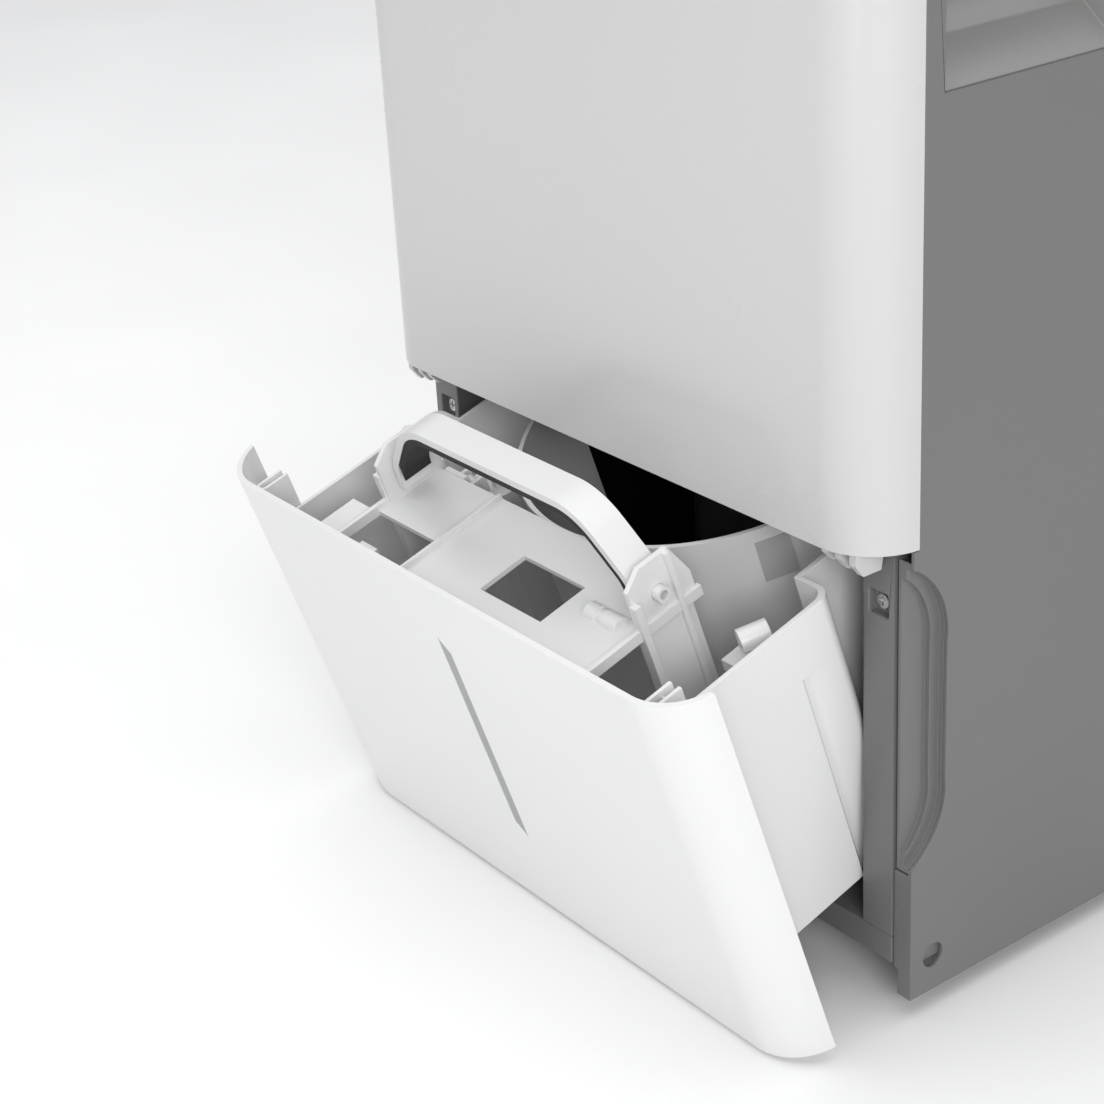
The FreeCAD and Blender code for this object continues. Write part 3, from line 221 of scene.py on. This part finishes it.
def refined(node_name, width):
    """A copy of a CAD node's shape that stands for it, with its edges rounded, or sharp at width 0."""
    source = nodes[node_name]
    bm = bmesh.new()
    bm.from_mesh(source.data)
    bmesh.ops.transform(bm, matrix=source.matrix_world, verts=bm.verts)
    bmesh.ops.remove_doubles(bm, verts=bm.verts, dist=MERGE_DISTANCE)
    bmesh.ops.dissolve_limit(bm, angle_limit=FLAT_ANGLE, verts=bm.verts, edges=bm.edges)
    if width == 0:
        for edge in bm.edges:
            edge.smooth = edge.calc_face_angle(0) < SHARP_ANGLE
    mesh = bpy.data.meshes.new(node_name + "_skin")
    bm.to_mesh(mesh)
    bm.free()
    mat = OWN_MATERIAL.get(node_name, SLOT_MATERIAL[SLOT_OF[node_name]])
    obj = finish_object(node_name + "_skin", mesh, BODY_OF[node_name], mat)
    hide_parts(node_name)
    soften(obj, width)


# How far each node's edges are rounded, in mm.
SKINS = {"front_panel": 1.0, "left_side": 0.7, "right_side": 0.7, "cabinet_back": 0.6, "top_cover": 0,
         "bucket_fascia": 1.0, "tub": 0.8, "bucket_cover": 0.7, "handle_bow": 1.6, "handle_grip": 0.8,
         "left_column": 0.8, "right_column": 0.8, "left_handle_cup": 0.8, "right_handle_cup": 0.8,
         "left_grip_pan": 0.6, "right_grip_pan": 0.6, "base_pan": 0.8, "hose_clip": 0.5,
         "level_window": 0.3, "control_panel": 0.4, "outlet_grille": 0.4}
# The handle cups take the lightened grey, a painted light.
OWN_MATERIAL = {"left_handle_cup": CUP_GREY_PAINTED_LIGHT, "right_handle_cup": CUP_GREY_PAINTED_LIGHT}
for node_name, rounding in SKINS.items():
    refined(node_name, rounding * MM)


# ---- small pieces that only the looks have ---------------------------------------------------------
TILT = math.radians(17.53)
PIVOT_CLOSED = Vector((0, 0.068, 0.048))
PIVOT_OUT = Vector((0, 0.010, 0.0564))
FRONT_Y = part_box("front_panel")[0][1]
FROM_PANEL = Matrix.Translation((0, FRONT_Y, 0))


def bucket_matrix():
    """Takes a place in the upright bucket, Y from the front panel's face, to its rest place."""
    shift = Matrix.Translation(Vector((0, FRONT_Y, 0)) + PIVOT_OUT)
    return shift @ Matrix.Rotation(TILT, 4, "X") @ Matrix.Translation(-PIVOT_CLOSED)


def plate(name, corners, thick, body, mat, matrix=FROM_PANEL):
    """A flat plate from its corner points in mm, given thickness along its own normal."""
    bm = bmesh.new()
    points = [Vector(c) * MM for c in corners]
    normal = (points[1] - points[0]).cross(points[2] - points[0]).normalized() * thick
    near = [bm.verts.new(p) for p in points]
    far = [bm.verts.new(p + normal) for p in points]
    bm.faces.new(near[::-1])
    bm.faces.new(far)
    for this in range(len(points)):
        after = (this + 1) % len(points)
        bm.faces.new((near[this], near[after], far[after], far[this]))
    bmesh.ops.transform(bm, matrix=matrix, verts=bm.verts)
    mesh = bpy.data.meshes.new(name)
    bm.to_mesh(mesh)
    bm.free()
    finish_object(name, mesh, body, mat)


# The faint darker square on the tub's round wall, in mm in the upright bucket.
PATCH = plastic("grey_patch", grey(0.42), grey(0.48), (0.3, 0.4))
PATCH_FRONT = (90.5, 131.2)
PATCH_BACK = (98.6, 146.1)
PATCH_BOTTOM = 182
PATCH_TOP = 206
PATCH_THICK = 0.4 * MM
plate("wall_patch", [(*PATCH_FRONT, PATCH_BOTTOM), (*PATCH_BACK, PATCH_BOTTOM),
                     (*PATCH_BACK, PATCH_TOP), (*PATCH_FRONT, PATCH_TOP)],
      PATCH_THICK, "bucket", PATCH, bucket_matrix())

# A plain dash behind each button, in mm.
ICON = plastic("control_marks", grey(0.55), grey(0.62), (0.3, 0.4))
BUTTONS = 5
MARK_HALF = 2
MARK_FRONT = 64
MARK_BACK = 65
MARK_THICK = 0.1 * MM
TOP_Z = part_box("control_panel")[1][2] / MM
for number in range(1, BUTTONS + 1):
    low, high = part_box("button_%d" % number)
    middle = (low[0] + high[0]) / 2 / MM
    left = middle - MARK_HALF
    right = middle + MARK_HALF
    plate("mark_%d" % number, [(left, MARK_FRONT, TOP_Z), (right, MARK_FRONT, TOP_Z),
                               (right, MARK_BACK, TOP_Z), (left, MARK_BACK, TOP_Z)],
          MARK_THICK, "housing", ICON)


# ---- camera ------------------------------------------------------------------------------------
AZIMUTH = math.radians(54.11)
ELEVATION = math.radians(25.23)
ROLL = math.radians(-3.515)
SENSOR = 36.0
LENS = 76.60109
FAR_CLIP = 50
CAMERA_PLACE = (0.8597, FRONT_Y - 0.6541, 0.7087)


def camera():
    data = bpy.data.cameras.new("camera")
    data.sensor_width = SENSOR
    data.lens = LENS
    data.clip_end = FAR_CLIP
    cam = bpy.data.objects.new("camera", data)
    link(cam)
    back = Vector((math.sin(AZIMUTH) * math.cos(ELEVATION), -math.cos(AZIMUTH) * math.cos(ELEVATION),
                   math.sin(ELEVATION)))
    right = (-back).cross(Vector((0, 0, 1))).normalized()
    up = right.cross(-back)
    side = right * math.cos(ROLL) + up * math.sin(ROLL)
    top = -right * math.sin(ROLL) + up * math.cos(ROLL)
    turn = Matrix((side, top, back)).transposed().to_4x4()
    cam.matrix_world = Matrix.Translation(CAMERA_PLACE) @ turn
    bpy.context.scene.camera = cam


camera()


# ---- floor and light ---------------------------------------------------------------------------
FLOOR_HALF = 6.0
ROOM_COLOUR = (0.97, 0.98, 1.0, 1)
ROOM_STRENGTH = 0.46
OBJECT_MIDDLE = (0, 0, 0.3)
BUCKET_CORNER = (0.16, -0.1, 0.35)


def stage():
    """A plain pale floor."""
    bm = bmesh.new()
    bmesh.ops.create_grid(bm, x_segments=2, y_segments=2, size=FLOOR_HALF)
    mesh = bpy.data.meshes.new("floor")
    bm.to_mesh(mesh)
    bm.free()
    floor = bpy.data.objects.new("floor", mesh)
    link(floor)
    mesh.materials.append(plastic("floor_paint", grey(0.88), grey(0.92), (0.5, 0.6)))


def area_light(name, place, target, size, power):
    """A rectangular light at place that faces target, in metres and watts."""
    data = bpy.data.lights.new(name, "AREA")
    data.shape = "RECTANGLE"
    data.size, data.size_y = size
    data.energy = power
    lamp = bpy.data.objects.new(name, data)
    link(lamp)
    lamp.location = place
    lamp.rotation_euler = (Vector(target) - Vector(place)).to_track_quat("-Z", "Y").to_euler()


def lights():
    world = bpy.data.worlds.new("soft_room")
    bpy.context.scene.world = world
    bpy.context.scene.view_settings.view_transform = "Standard"
    world.use_nodes = True
    background = world.node_tree.nodes["Background"]
    background.inputs["Color"].default_value = ROOM_COLOUR
    background.inputs["Strength"].default_value = ROOM_STRENGTH
    area_light("top", (-0.3, 0.2, 3.2), OBJECT_MIDDLE, (5.0, 5.0), 95)
    area_light("key", (-1.6, -2.2, 1.8), OBJECT_MIDDLE, (1.5, 1.5), 8)
    area_light("fill", (2.6, -1.6, 1.5), OBJECT_MIDDLE, (1.4, 1.4), 50)
    area_light("edge", (0.9, -2.2, 0.8), BUCKET_CORNER, (0.5, 1.6), 6)


stage()
lights()
